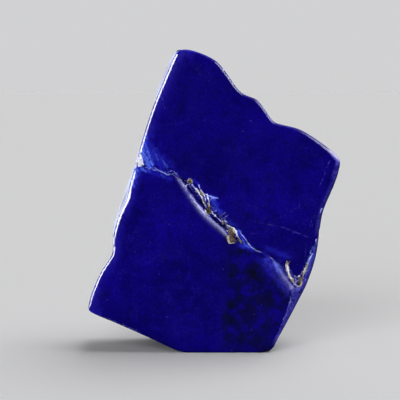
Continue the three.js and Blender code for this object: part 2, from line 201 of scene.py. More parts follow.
    ("olive", 0.4, 0.6, 0, [(24.6, 26.6), (25.1, 25.4), (25.8, 24.4)]),
    ("cream", 0.56, 1.0, 0.25, [(23.6, 29.7), (23.9, 28.0), (24.3, 26.2), (25.1, 24.6), (26.0, 23.4)]),
    ("calcite", 0.3, 1.0, 0.2, [(23.8, 29.4), (24.1, 27.6), (24.5, 26.0), (25.0, 25.0)]),
    ("calcite", 0.3, 0.7, 0.1, [(26.0, 23.0), (26.7, 22.6)]),
    ("vein", 0.42, 0.9, 0.1, [(25.8, 22.8), (26.6, 22.6)]),
    ("cream", 0.26, 0.8, 0.1, [(27.3, 22.2), (28.2, 22.4), (28.6, 23.6), (28.9, 24.9)]),
    ("soot", 0.36, 0.5, -0.4, [(26.4, 26.4), (26.9, 25.6)]),
    ("ochre", 0.5, 0.9, 0.3, [(27.9, 25.3), (28.0, 24.6)]),
    ("ochre", 0.42, 0.8, 0.2, [(27.5, 23.8), (28.0, 23.2)]),
    ("vein", 0.12, 0.6, 0.2, [(27.5, 24.4), (28.2, 24.1)]),
    ("ochre", 0.4, 0.8, 0.2, [(28.3, 26.4), (28.9, 26.9), (29.9, 28.2), (30.2, 29.0)]),
    ("soot", 0.24, 0.8, -0.3, [(27.7, 24.8)]),
    ("soot", 0.16, 0.6, -0.2, [(27.3, 23.5)]),
    ("soot", 0.2, 0.6, -0.2, [(30.0, 28.0)]),
    ("cream", 0.2, 0.8, 0.1, [(28.4, 24.8), (28.2, 23.8)]),
    ("calcite", 0.4, 1.0, 0.4, [(27.5, 25.8)]),
    ("vein", 0.14, 0.6, 0.1, [(27.2, 24.6), (27.4, 23.8)]),
    ("calcite", 0.2, 0.8, 0.2, [(29.0, 26.0), (29.4, 27.2), (29.9, 28.6)]),
    ("cream", 0.34, 0.8, 0.2, [(28.9, 24.8), (29.3, 26.6), (30.0, 28.4), (30.5, 29.8)]),
    ("vein", 0.3, 0.7, 0.1, [(30.2, 29.2), (30.8, 30.6), (31.4, 32.0)]),
    ("vein", 0.22, 1.0, 0, [(31.2, 31.6), (31.9, 32.9)]),
    ("pale", 0.9, 0.45, 0, [(30.0, 27.0), (30.8, 29.4), (31.8, 32.0)]),
    ("vein", 0.26, 0.6, 0, [(29.8, 24.4)]),
    ("vein", 0.3, 0.8, 0, [(33.2, 37.0), (33.5, 37.6)]),
    ("vein", 0.24, 0.8, 0, [(34.5, 46.8), (35.1, 48.0)]),
    ("pale", 0.6, 0.5, 0, [(31.6, 33.6), (32.6, 35.4)]),
    # a dotted painted highlight along the front edge below the notch
    ("dots", 0.34, 0.55, 0, [(25.5, 20.6), (24.9, 17.6), (24.1, 15.0), (23.4, 12.6), (22.7, 10.8),
                               (20.9, 7.2), (19.1, 3.9)]),
    ("vein", 0.09, 0.35, 0, [(26.2, 30.0), (27.4, 29.5), (29.2, 28.9)]),
]

# The chamfer on the right, which gets a pale painted sheen: it lies to the right of this line.
chamfer = [
    (34.6, 41.0), (33.9, 39.0), (33.1, 36.6), (31.9, 33.3), (30.5, 30.2), (29.4, 26.8), (28.5, 23.8),
    (26.6, 22.0), (25.5, 20.4), (24.9, 17.5), (24.1, 15.0), (23.4, 12.5), (22.7, 10.6), (21.0, 7.1),
    (19.2, 3.9), (18.4, 1.2),
]

stone = {  # lengths in millimetres; most pairs are where something starts and where it is full
    "seed": 11,
    "voxel": 0.62,  # the even skin's mesh size
    "weld": 1e-6,  # metres
    "seamSteps": 16,  # steps of the smooth line from one row of the seam to the next
    "chamferSteps": 8,
    "relaxRounds": 34,
    "seamHold": 0.75,  # how firmly the seam and the groove keep their shape while the skin is relaxed
    "holdReach": (2.5, 5),
    "frontHold": (4, 8),  # behind the front face
    "grooveHold": 0.7,
    "softRounds": 12,  # of the softened copy that shows where the groove is
    "softSteps": (0.6, 0.0),
    "hollowRange": (0.05, 0.25),
    "grooveHollow": 0.16,
    "grooveMiddle": (5.0, 0, 52),  # the seam comes out on the sides and the back near this slanting plane
    "grooveSlant": 0.33,
    "grooveBand": 6,
    "fineReach": (1.2, 1.2, 1.3),  # how far the skin is split beyond the ledge, the roll-over and a thin mark
    "finerReach": (0.3, 0.0, 0.5),
    "seamReach": 7,  # how far from the seam, and from the front face, the skin is split
    "splitDepth": 7,
    "markReach": 12,
    "thinMark": 0.6,  # half the width of the widest mark that counts as thin
    "veinMark": 0.17,  # and of the widest that counts as a vein
    "veinReach": 0.28,
    "veinDepth": 4,
    "rimTurn": 0.04,  # how far the skin has turned away from the front where the rim begins
    "rimSplitDepth": 2.2,
    "rimFoot": 11,  # the heights between which only the left side's rim is split
    "rimTop": 62,
    "leftSlant": 0.36,  # the left side's line: x for each millimetre of height, and x at the foot
    "leftSplit": -40,
    "leftPale": -42,
    "seamKeep": 9,
    "grooveReach": 1.7,
    "freeReach": (6, 9),  # from the seam, for the last relaxing
    "freeDepth": (7, 9),
    "grooveFree": (1, 2),
    "lastRounds": 5,
    "rimBand": (0.9, 1.6),
    "rimNormal": -0.8,
    "rimFromSeam": 4,
    "rimReach": 6,
    "facingDepth": (3, 7),
    "inSeam": (5, 7),
    "troughDepth": (1.3, 2.2),  # the crevice's depth where a trough begins
    "rollDepth": (0.9, 1.5),  # and the width from which the roll-over shows
    "ledgeEdge": (-0.4, 0.0),
    "ledgeFray": (0.9, 0.1),
    "crevice": 0.55,
    "crevicePlace": 0.2,
    "creviceWidth": 0.25,
    "crack": 0.3,
    "crackWidth": 0.22,
    "healed": (14.8, 15.6, 17.4, 18.4),  # x of the stretch where the crack closes
    "rollWidth": (1.15, 0.4),  # for each millimetre of its width in the seam's rows, and on top of that
    "rollCurve": (0.30, 0.12, 0.26),
    "rollStart": (0.02, 0.35),
    "edgeFall": 0.35,  # how far the front face falls away at its edge
    "edgeFallWidth": 5.0,
    "edgeFallDepth": (0.3, 1.2),
    "markField": 16,
    "taper": 0.5,
    "taperMark": 0.3,  # half the width of the widest mark that tapers
    "swellMost": (1.2, 1.5),  # of a mark that tapers, and of a wider one
    "swellLeast": 0.4,
    "bend": (0.4, 2),  # the share of the wobble that a mark takes, and more for each millimetre of its width
    "softMark": (0.1, 1.9),
    "hardMark": (0.45, 1.6),
    "proudMark": (0.2, 1.4),
    # hills: the height, width and shift of each layer
    "ledgeHills": ((0.35, 1.3, 1), (0.22, 0.6, 2)),
    "wobbleX": ((0.22, 0.9, 3), (0.12, 0.4, 5)),
    "wobbleZ": ((0.22, 0.9, 4), (0.12, 0.4, 6)),
    "swell": ((0.6, 1.3, 7), (0.3, 0.5, 8)),
    "crumbs": ((1, 0.7, 9), (0.6, 0.35, 10)),
    "alongGroove": ((1, 6, 11), (0.5, 2.2, 12)),
    "fineGroove": ((1, 1.1, 13), (0.5, 0.5, 14)),
    "grooveHills": ((0.16, 1.0, 15), (0.10, 0.5, 16)),
    "uneven": ((1.5, 3.5, 18), (0.8, 1.2, 19)),
    "chamferHills": ((0.25, 2.6, 20), (0.25, 0.9, 21)),
    # along the groove: the kind, its strength, and where it starts and is full
    "grooveKinds": (("calcite", 1.0, -0.1, 0.35), ("ochre", 0.9, 0.3, -0.35), ("vein", 0.8, -0.6, -0.2)),
    # heights on the stone: from nothing to full, and from full to nothing again
    "chamferHeights": (2, 4, 40, 42),
    "rightHeights": (38, 41, 64, 66.5),
    "shoulderHeights": (57, 61, 64.5, 66.5),
}

farAway = 1e9  # farther than any place on the stone
tiny = 1e-9
batch = 4000  # points handled at a time
hillCount = 256  # a power of two
hillShift = 17.3
hillGain = 1.6


def catmullRom(rows, steps):  # a smooth line through the rows, with every column carried along
    rows = np.array(rows, float)
    padded = np.vstack([2 * rows[0] - rows[1], rows, 2 * rows[-1] - rows[-2]])
    found = []
    for i in range(len(rows) - 1):
        a, b, c, d = padded[i:i + 4]
        for t in np.linspace(0, 1, steps, endpoint=False):
            found.append(0.5 * (2 * b + (c - a) * t + (2 * a - 5 * b + 4 * c - d) * t ** 2
                                + (3 * b - a - 3 * c + d) * t ** 3))
    found.append(rows[-1])
    return np.array(found)


randomTurns = np.random.default_rng(stone["seed"])
shuffled = randomTurns.permutation(hillCount)
slopes = randomTurns.normal(size=(hillCount, 3))
slopes /= np.linalg.norm(slopes, axis=1, keepdims=True)


def hills(points, size, shift=0.0):  # smooth random hills from about -1 to 1, "size" millimetres wide
    grid = points / size + shift * hillShift
    cell = np.floor(grid).astype(np.int64)
    part = grid - cell
    ease = part ** 3 * (part * (part * 6 - 15) + 10)
    total = np.zeros(len(points))
    wrap = hillCount - 1
    for corner in itertools.product((0, 1), repeat=3):
        node = (cell + corner) & wrap
        drawn = shuffled[(shuffled[node[:, 0]] + node[:, 1]) & wrap]
        slope = slopes[shuffled[(drawn + node[:, 2]) & wrap]]
        weight = np.prod(np.where(corner, ease, 1 - ease), axis=1)
        total += weight * ((part - corner) * slope).sum(1)
    return hillGain * total


def layered(points, name, base=0.0):  # the layers of hills that go by the name, on top of the base
    total = base
    for height, size, shift in stone[name]:
        total = total + height * hills(points, size, shift)
    return total


def rise(value, start, end):  # 0 before start, 1 after end, and smooth between them
    t = np.clip((value - start) / (end - start), 0, 1)
    return t * t * (3 - 2 * t)


def fall(value, start, end):  # 1 before start, 0 after end
    return 1 - rise(value, start, end)


def between(value, limits):  # up from nothing to full over the first two limits, and down over the last two
    return rise(value, *limits[:2]) * fall(value, *limits[2:])


def shareAlong(flat, start, step):  # how far along the step each point lies, from 0 to 1
    return np.clip(((flat - start) @ step) / max(step @ step, tiny), 0, 1)


def distanceTo(flat, places):  # from each point to a stroke through the places
    places = np.array(places, float)
    ends = places[1:] if len(places) > 1 else places
    best = np.full(len(flat), farAway)
    for start, end in zip(places, ends):
        step = end - start
        share = shareAlong(flat, start, step)
        best = np.minimum(best, np.linalg.norm(flat - start - share[:, None] * step, axis=1))
    return best


def taperOf(flat, places):  # 1 along a stroke, and less towards its far end
    start, end = np.array(places[0], float), np.array(places[-1], float)
    return 1 - stone["taper"] * rise(shareAlong(flat, start, end - start), 0.5, 1.0)


def nearSeam(points, line):  # for each point: the nearest step of the line, and the distance across it
    nearest = np.empty(len(points), int)
    flat = points[:, [0, 2]].astype(np.float32)
    for start in range(0, len(flat), batch):
        block = flat[start:start + batch]
        gap = ((block[:, None] - line[None, :, :2].astype(np.float32)) ** 2).sum(2)
        nearest[start:start + batch] = gap.argmin(1)
    along = np.gradient(line[:, :2], axis=0)
    along /= np.linalg.norm(along, axis=1, keepdims=True)
    offset = flat - line[nearest, :2]
    across = offset[:, 0] * along[nearest, 1] - offset[:, 1] * along[nearest, 0]
    return nearest, across, np.linalg.norm(offset, axis=1)


def reachOf(points, places):  # from each point to the nearest of the places
    finder = KDTree(len(places))
    for i, goal in enumerate(places):
        finder.insert(goal, i)
    finder.balance()
    return np.array([finder.find(point)[2] for point in points])


def numbersOf(items, key, width, kind=float):
    found = np.empty(len(items) * width, kind)
    items.foreach_get(key, found)
    return found.reshape(-1, width)


def pointsOf(mesh):
    return numbersOf(mesh.vertices, "co", 3) / mm


def edgesOf(mesh):
    return numbersOf(mesh.edges, "vertices", 2, int)


def normalsOf(mesh):
    return numbersOf(mesh.vertex_normals, "vector", 3)


def setPoints(mesh, points):
    mesh.vertices.foreach_set("co", (points * mm).ravel())
    mesh.update()


def evenSkin(node, name):  # the CAD solid, welded and remeshed to even quads
    mesh = bpy.data.meshes.new(name)
    shape = bmesh.new()
    shape.from_mesh(node.data)
    bmesh.ops.remove_doubles(shape, verts=shape.verts, dist=stone["weld"])
    shape.to_mesh(mesh)
    shape.free()
    piece = bpy.data.objects.new(name, mesh)
    scene.collection.objects.link(piece)
    skin = piece.modifiers.new("skin", "REMESH")
    skin.mode = "VOXEL"
    skin.voxel_size = stone["voxel"] * mm
    ready = piece.evaluated_get(bpy.context.evaluated_depsgraph_get())
    piece.data = bpy.data.meshes.new_from_object(ready)
    piece.modifiers.clear()
    piece.data.name = name
    return piece


def relaxed(points, edges, share, rounds, steps=(0.5, -0.53)):  # each round steps in and back out
    count = np.bincount(edges.ravel(), minlength=len(points))
    for _ in range(rounds):
        for step in steps:
            total = np.stack([
                np.bincount(edges[:, 0], points[edges[:, 1], axis], len(points))
                + np.bincount(edges[:, 1], points[edges[:, 0], axis], len(points))
                for axis in range(3)], 1)
            points = points + step * share[:, None] * (total / count[:, None] - points)
    return points


def hollowness(points, edges, normals):  # how far each point lies inside a softened copy of the skin
    softened = relaxed(points, edges, np.ones(len(points)), stone["softRounds"], stone["softSteps"])
    return ((softened - points) * normals).sum(1)


def besideMarks(flat, reach, widest):  # whether each point is within reach of a mark no wider than that
    best = np.full(len(flat), farAway)
    for kind, halfWidth, strength, proud, places in marks:
        if halfWidth <= widest:
            best = np.minimum(best, distanceTo(flat, places) - halfWidth)
    return best < reach


def splitNear(mesh, chosen):  # splits every quad whose corners are all chosen into four
    shape = bmesh.new()
    shape.from_mesh(mesh)
    shape.edges.ensure_lookup_table()
    picked = [e for e in shape.edges if chosen[e.verts[0].index] and chosen[e.verts[1].index]]
    bmesh.ops.subdivide_edges(shape, edges=picked, cuts=1, use_grid_fill=True)
    shape.to_mesh(mesh)
    shape.free()


frontY = low.y / mm


def behind(y, start, end):  # 0 up to start millimetres behind the front face, and 1 from end
    return rise(y, frontY + start, frontY + end)


def shallow(points, depth):  # whether each point lies less than that behind the front face
    return points[:, 1] < frontY + depth


def onLeft(points, start):  # whether each point lies on the left of a line along the slanting left side
    return points[:, 0] < start + stone["leftSlant"] * points[:, 2]


stonePiece = evenSkin(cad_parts["lapis_stone"], "lapis_freeform")
mesh = stonePiece.data
line = catmullRom(seam, stone["seamSteps"])
grooveMiddle = np.array(stone["grooveMiddle"])
grooveUp = np.array([stone["grooveSlant"], 0, 1]) / math.hypot(stone["grooveSlant"], 1)
points = pointsOf(mesh)
gap = nearSeam(points, line)[2]
atFront = 1 - behind(points[:, 1], *stone["frontHold"])
offPlane = points @ grooveUp - grooveMiddle @ grooveUp
nearPlane = abs(offPlane) < stone["grooveBand"]
hollow = hollowness(points, edgesOf(mesh), normalsOf(mesh)) * nearPlane * (1 - atFront)
seamHold = stone["seamHold"] * fall(gap, *stone["holdReach"]) * atFront
hold = 1 - np.maximum(seamHold, stone["grooveHold"] * rise(hollow, *stone["hollowRange"]))
points = relaxed(points, edgesOf(mesh), hold, stone["relaxRounds"])
setPoints(mesh, points)
grooveLine = points[hollow > stone["grooveHollow"]]
print("skin:", len(mesh.vertices), "points, groove:", len(grooveLine))

splitDepth = stone["splitDepth"]
for ledgeSide, blockSide, markSide in (stone["fineReach"], stone["finerReach"]):
    points = pointsOf(mesh)
    nearest, across, gap = nearSeam(points, line)
    ledge, depth, roll = line[nearest, 2:].T
    wide = (across > -ledge - ledgeSide) & (across < roll + blockSide) & (gap < stone["seamReach"])
    close = np.flatnonzero(shallow(points, splitDepth) & (gap < stone["markReach"]))
    wide[close] |= besideMarks(points[close][:, [0, 2]], markSide, stone["thinMark"])
    splitNear(mesh, wide & shallow(points, splitDepth))
points = pointsOf(mesh)
gap = nearSeam(points, line)[2]
close = np.flatnonzero(shallow(points, stone["veinDepth"]) & (gap < stone["markReach"]))
veined = np.zeros(len(points), bool)
veined[close] = besideMarks(points[close][:, [0, 2]], stone["veinReach"], stone["veinMark"])
splitNear(mesh, veined)
points = pointsOf(mesh)
turned = 1 + normalsOf(mesh)[:, 1]  # 0 on the front face, 1 where the side begins
onRim = (turned > stone["rimTurn"]) & shallow(points, stone["rimSplitDepth"])
onRim &= points[:, 2] > stone["rimFoot"]
onRim &= onLeft(points, stone["leftSplit"]) | (points[:, 2] > stone["rimTop"])
fromGroove = reachOf(points, grooveLine)
besideSeam = nearSeam(points, line)[2] < stone["seamKeep"]
chosen = (onRim | (fromGroove < stone["grooveReach"])) & ~(besideSeam & shallow(points, splitDepth))
splitNear(mesh, chosen)
points = pointsOf(mesh)
gap = nearSeam(points, line)[2]
free = rise(gap, *stone["freeReach"]) + behind(points[:, 1], *stone["freeDepth"])
free = np.clip(free, 0, 1) * rise(reachOf(points, grooveLine), *stone["grooveFree"])
points = relaxed(points, edgesOf(mesh), free, stone["lastRounds"])
setPoints(mesh, points)
print("skin split near the seam:", len(mesh.vertices), "points")
mesh.calc_loop_triangles()
print("triangles:", len(mesh.loop_triangles))

# the seam's relief
points = pointsOf(mesh)
nearest, across, gap = nearSeam(points, line)
ledge, depth, roll = line[nearest, 2:].T
rimStart, rimEnd = stone["rimBand"]
onSide = normalsOf(mesh)[:, 1] > stone["rimNormal"]
rim = points[(points[:, 1] > frontY + rimStart) & shallow(points, rimEnd) & onSide]
rim = rim[nearSeam(rim, line)[2] > stone["rimFromSeam"]]
front = np.flatnonzero(shallow(points, stone["rimReach"]))
fromRim = np.full(len(points), farAway)
fromRim[front] = reachOf(points[front], rim)

flat = points[:, [0, 2]]
x, y, z = points.T
push = np.zeros(len(points))  # towards -Y, out of the front face
facing = 1 - behind(y, *stone["facingDepth"])
inSeam = fall(gap, *stone["inSeam"]) * facing
frayStart, frayEnd = stone["ledgeFray"]
onLedge = fall(across, *stone["ledgeEdge"]) * rise(across, -ledge - frayStart, -ledge - frayEnd) * inSeam
inTrough = rise(depth, *stone["troughDepth"])
push += onLedge * inTrough * layered(points, "ledgeHills")
fromCrevice = (across + stone["crevicePlace"]) / stone["creviceWidth"]
push -= stone["crevice"] * inTrough * inSeam * np.exp(-fromCrevice ** 2)
unhealed = 1 - between(x, stone["healed"])
push -= stone["crack"] * (1 - inTrough) * unhealed * inSeam * np.exp(-(across / stone["crackWidth"]) ** 2)
rollShare, rollMore = stone["rollWidth"]
rollWide = rollShare * roll + rollMore
down = 1 - np.clip(across / rollWide, 0, 1)
rollRound, rollCorner, rollDish = stone["rollCurve"]
rollShape = frontY + rollWide * (rollRound * down ** 2 / (down + rollCorner) + rollDish * down ** 2)
onRoll = rise(across, *stone["rollStart"]) * (across < rollWide) * rise(roll, *stone["rollDepth"]) * inSeam
push += onRoll * (y - rollShape)
onFace = 1 - behind(y, *stone["edgeFallDepth"])
push -= stone["edgeFall"] * fall(fromRim, 0, stone["edgeFallWidth"]) * onFace

# the marks, and the masks that the material reads
nearFront = np.flatnonzero((facing > 0) & (gap < stone["markField"]))
near = points[nearFront]
wobble = np.stack([layered(near, "wobbleX"), layered(near, "wobbleZ")], 1)
softKinds = ("azure", "pale", "haze", "glare")
kinds = ("calcite", "cream", "ochre", "olive", "soot", "vein", "hole", "dots") + softKinds
masks = {kind: np.zeros(len(points)) for kind in kinds}
swell = layered(near, "swell", 0.75)
bendLeast, bendMore = stone["bend"]


def spread(kind, values):  # adds the values to a mask, where they are more than it has
    masks[kind] = np.maximum(masks[kind], values)


for kind, halfWidth, strength, proud, places in marks:
    tapers = halfWidth < stone["taperMark"]
    bent = flat[nearFront] + wobble * min(1, bendLeast + bendMore * halfWidth)
    wide = halfWidth * np.clip(swell, stone["swellLeast"], stone["swellMost"][0 if tapers else 1])
    if tapers and len(places) > 2:
        wide *= taperOf(bent, places)
    far = distanceTo(bent, places) / wide
    cover = strength * fall(far, *stone["softMark" if kind in softKinds else "hardMark"])
    masks[kind][nearFront] = np.maximum(masks[kind][nearFront], cover * facing[nearFront])
    push[nearFront] += proud * fall(far, *stone["proudMark"])
# painted shade along the crevice
spread("soot", 0.25 * inTrough * inSeam * np.exp(-((across + 0.15) / 0.2) ** 2))
crumbs = 0.45 * rise(layered(near, "crumbs"), 0.35, 0.8) * (onLedge * inTrough)[nearFront]
masks["calcite"][nearFront] = np.maximum(masks["calcite"][nearFront], crumbs)
crusted = [masks[kind] for kind in ("calcite", "cream", "ochre", "olive")]
masks["crust"] = np.maximum.reduce([0.3 * onLedge * inTrough] + crusted)
masks["roll"] = rise(roll, *stone["rollDepth"]) * inSeam * rise(across, 0, 0.4)
masks["roll"] *= fall(across, roll, roll + 1.2)
# painted light: the front turns a brighter blue towards its left edge
masks["leftEdge"] = fall(fromRim, 0.3, 4.2) * onLeft(points, stone["leftPale"]) * (z > 12)

# painted sheen on the chamfer of the right side, along the right edge and along the upper edge, and a painted
# highlight at the upper right corner
nearest, beside, gap = nearSeam(points, catmullRom(chamfer, stone["chamferSteps"]))
onChamfer = rise(-beside, -0.1, 0.4) * (gap < 8) * between(z, stone["chamferHeights"])
unevenDepth = y + layered(points, "uneven")
onChamfer *= 1 - behind(unevenDepth, 2.5, 8)
onChamfer *= layered(points, "chamferHills", 0.85)
normals = normalsOf(mesh)
turned = 1 + normals[:, 1]
atEdge = fall(turned, 0.9, 1.1) * (1 - behind(y, 3, 5))
rightEdge = rise(turned, 0.08, 0.35) * atEdge * (x > 30) * between(z, stone["rightHeights"])
shoulder = rise(turned, 0.03, 0.10) * atEdge * (x > 32) * between(z, stone["shoulderHeights"])
rightEdge = np.maximum(rightEdge, shoulder)
rightEdge *= (0.65 + 0.3 * rise(z, 56, 61)) * (1 - behind(unevenDepth, 0.8, 4.5))
upperEdge = rise(turned, 0.12, 0.5) * atEdge * rise(normals[:, 2], 0.05, 0.3) * (x > -19) * rise(z, 62, 65)
spread("glare", upperEdge * rise(x, 35.5, 38.5))
masks["worn"] = rise(turned, 0.03, 0.12) * atEdge * rise(x, -4, 12) * rise(z, 60, 64)
spread("haze", np.maximum.reduce([onChamfer, rightEdge, 0.55 * upperEdge]))

# a dotted painted highlight along the lower left edge
lowEdge = fall(abs(turned - 0.25), 0.1, 0.3) * (1 - behind(y, 2, 3))
lowEdge *= (x < -24) * fall(z, 11, 13) * (turned > 0.05)
spread("dots", 0.46 * lowEdge)

# the seam on the sides and the back: calcite and ochre in the groove, azure beside it
fromGroove = reachOf(points, grooveLine)
aside = behind(y, 1, 5)
inGroove = fall(fromGroove, 0.25, 0.95) * aside
along = layered(points, "alongGroove")
fine = layered(points, "fineGroove")
for kind, strength, start, end in stone["grooveKinds"]:
    way = np.sign(end - start)
    spread(kind, strength * inGroove * rise(along * way, start * way, end * way) * rise(fine, -0.5, 0.1))
spread("azure", 0.8 * fall(fromGroove, 0.5, 3.2) * aside * rise(along, -0.3, 0.4))
spread("pale", 0.7 * fall(fromGroove, 0.6, 1.6) * aside * rise(along + fine, 0.2, 0.9))
spread("crust", 0.8 * inGroove)
points += (inGroove * layered(points, "grooveHills"))[:, None] * normals

points[:, 1] -= push
points = np.clip(points, np.array(low) / mm, np.array(high) / mm)
setPoints(mesh, points)
for kind, values in masks.items():
    mesh.attributes.new(kind, "FLOAT", "POINT").data.foreach_set("value", values.astype(np.float32))
mesh.polygons.foreach_set("use_smooth", [True] * len(mesh.polygons))
print("relief and marks:", len(marks), "marks,", len(masks), "masks")

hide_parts("lapis_stone")
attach(stonePiece, "root")


def material(name):
    made = bpy.data.materials.new(name)
    made.use_nodes = True
    nodes = made.node_tree.nodes
    nodes.clear()
    out = nodes.new("ShaderNodeOutputMaterial")
    shader = nodes.new("ShaderNodeBsdfPrincipled")
    made.node_tree.links.new(shader.outputs[0], out.inputs[0])
    return made, made.node_tree, shader


def addNode(tree, kind, settings=None, **inputs):  # a node with its settings, and its inputs set or linked
    node = tree.nodes.new("ShaderNode" + kind)
    for name, value in (settings or {}).items():
        setattr(node, name, value)
    for name, value in inputs.items():
        socket = node.inputs[int(name[1:])] if name[1:].isdigit() else node.inputs[name.replace("_", " ")]
        if isinstance(value, bpy.types.NodeSocket):
            tree.links.new(value, socket)
        else:
            socket.default_value = value
    return node


def mixColor(tree, share, first, second):
    return addNode(tree, "Mix", {"data_type": "RGBA"}, s0=share, s6=first, s7=second).outputs[2]


def ramp(tree, value, start, end, low=0.0, high=1.0):
    return addNode(tree, "MapRange", {"interpolation_type": "SMOOTHSTEP"},
                   Value=value, From_Min=start, From_Max=end, To_Min=low, To_Max=high).outputs[0]


def calc(tree, what, a, b):
    return addNode(tree, "Math", {"operation": what}, s0=a, s1=b).outputs[0]


def vectorCalc(tree, what, a, b):
    return addNode(tree, "VectorMath", {"operation": what}, s0=a, s1=b).outputs


def scaled(tree, vector, factor):
    return addNode(tree, "VectorMath", {"operation": "SCALE"}, s0=vector, s3=factor).outputs[0]


def noiseNode(tree, where, size, detail, rough, warp):  # size in millimetres
    return addNode(tree, "TexNoise", Vector=where, Scale=1 / size, Detail=detail, Roughness=rough,
                   Distortion=warp).outputs[0]


def groupOf(name, **inputs):  # an empty node group that gives a mask, and its sockets
    tree = bpy.data.node_groups.new(name, "ShaderNodeTree")
    types = {"value": "NodeSocketFloat", "vector": "NodeSocketVector"}
    for socket, kind in inputs.items():
        tree.interface.new_socket(socket, in_out="INPUT", socket_type=types[kind])
    tree.interface.new_socket("Mask", in_out="OUTPUT", socket_type=types["value"])
    return tree, tree.nodes.new("NodeGroupInput").outputs, tree.nodes.new("NodeGroupOutput")


def groupNode(tree, group, **inputs):
    node = tree.nodes.new("ShaderNodeGroup")
    node.node_tree = group
    for name, value in inputs.items():
        if isinstance(value, bpy.types.NodeSocket):
            tree.links.new(value, node.inputs[name])
        else:
            node.inputs[name].default_value = value
    return node.outputs["Mask"]


def frayGroup():  # frays a soft mask into crumbs and veins
    tree, given, result = groupOf("frayedMask", Mask="value", Place="vector", Crumb="value", Fray="value")
    size = calc(tree, "DIVIDE", 1.0, given["Crumb"])
    noise = addNode(tree, "TexNoise", Vector=given["Place"], Scale=size, Detail=4.0, Roughness=0.6)
    swing = calc(tree, "MULTIPLY", calc(tree, "SUBTRACT", noise.outputs[0], 0.5), given["Fray"])
    edge = calc(tree, "ADD", given["Mask"], swing)
    held = calc(tree, "MULTIPLY", ramp(tree, edge, 0.30, 0.62), ramp(tree, given["Mask"], 0.02, 0.2))
    tree.links.new(held, result.inputs["Mask"])
    return tree


def hairlineGroup():  # a fine broken line from one place to another, in millimetres
    tree, given, result = groupOf("hairline", Place="vector", Start="vector", End="vector",
                                  Width="value", Strength="value")
    step = vectorCalc(tree, "SUBTRACT", given["End"], given["Start"])[0]
    offset = vectorCalc(tree, "SUBTRACT", given["Place"], given["Start"])[0]
    run = vectorCalc(tree, "DOT_PRODUCT", offset, step)["Value"]
    whole = vectorCalc(tree, "DOT_PRODUCT", step, step)["Value"]
    share = addNode(tree, "Math", {"operation": "DIVIDE", "use_clamp": True}, s0=run, s1=whole).outputs[0]
    away = vectorCalc(tree, "DISTANCE", offset, scaled(tree, step, share))["Value"]
    edge = ramp(tree, away, given["Width"], calc(tree, "MULTIPLY", given["Width"], 0.3))
    breaks = ramp(tree, noiseNode(tree, given["Place"], 1.1, 3, 0.6, 0), 0.44, 0.62)
    broken = calc(tree, "MULTIPLY", calc(tree, "MULTIPLY", edge, breaks), given["Strength"])
    tree.links.new(broken, result.inputs["Mask"])
    return tree


scratches = [  # x and z of both ends, the width and the strength
    ((13.1, 43.7), (22.2, 42.0), 0.24, 0.35),
    ((22.2, 42.0), (30.4, 38.7), 0.26, 0.50),
    ((21.2, 45.0), (27.8, 48.9), 0.22, 0.22),
    ((-18.0, 86.4), (-16.7, 82.8), 0.28, 0.45),
    ((-17.4, 84.0), (-16.2, 80.6), 0.24, 0.30),
    ((38.1, 65.3), (36.4, 61.6), 0.28, 0.60),
    ((36.2, 61.2), (35.7, 59.2), 0.24, 0.40),
    ((35.4, 58.4), (34.1, 55.2), 0.30, 0.60),
    ((32.8, 46.0), (31.8, 42.0), 0.26, 0.35),
    ((31.9, 45.2), (30.8, 40.4), 0.22, 0.25),
    ((29.9, 36.4), (29.5, 31.0), 0.24, 0.30),
]

lapis = {
    "deep": (0.0022, 0.0001, 0.121, 1),
    "bright": (0.0042, 0.0005, 0.212, 1),
    "dark": (0.0018, 0.0004, 0.058, 1),
    "glow": (0.014, 0.009, 0.33, 1),
    "black": (0.0024, 0.0024, 0.011, 1),
    "night": (0.0026, 0.0020, 0.044, 1),
    "azure": (0.016, 0.019, 0.54, 1),
    "pale": (0.12, 0.22, 0.92, 1),
    # the next colour is for dust specks and scratches, and for painted sheen
    "haze": (0.060, 0.055, 0.46, 1),
    "vein": (0.33, 0.36, 0.92, 1),
    # the next colour is a painted highlight
    "glare": (0.47, 0.45, 0.84, 1),
    "calcite": (0.80, 0.82, 0.92, 1),
    "cream": (0.52, 0.48, 0.37, 1),
    "sand": (0.27, 0.23, 0.12, 1),
    "ochre": (0.145, 0.082, 0.034, 1),
    "rust": (0.060, 0.034, 0.030, 1),
    "olive": (0.062, 0.055, 0.014, 1),
    # the next colour is painted shade
    "soot": (0.0012, 0.0012, 0.005, 1),
    "pyrite": (0.62, 0.48, 0.20, 1),
}

patterns = {  # size in millimetres, detail, roughness and warp
    "clouds": (22, 4, 0.5, 0.4),
    "blotches": (6, 5, 0.6, 0.6),
    "smallBlots": (2.9, 3, 0.5, 0.2),
    "bigBlots": (6.5, 3, 0.55, 0.3),
    "backBlots": (34, 3, 0.55, 0.5),
    "grains": (0.8, 4, 0.65, 0),
    "dust": (0.33, 3, 0.7, 0),
    "wisps": (1.6, 6, 0.7, 1.2),
    "streaks": (1, 5, 0.6, 0.3),
    "handling": (9, 4, 0.6, 0),
    "crumble": (0.45, 4, 0.7, 0),
}

ground = [  # each layer's pattern, where it starts and is full, the most that it covers, and its colour
    ("clouds", 0.36, 0.66, 1, "bright"),
    ("blotches", 0.50, 0.70, 0.55, "bright"),
    ("blotches", 0.46, 0.26, 0.6, "dark"),
    ("smallBlots", 0.52, 0.72, 0.5, "bright"),
    ("smallBlots", 0.48, 0.28, 0.4, "dark"),
    ("grains", 0.36, 0.66, 0.5, "dark"),
    ("grains", 0.44, 0.30, 0.22, "glow"),
    ("dust", 0.60, 0.80, 0.22, "haze"),
]

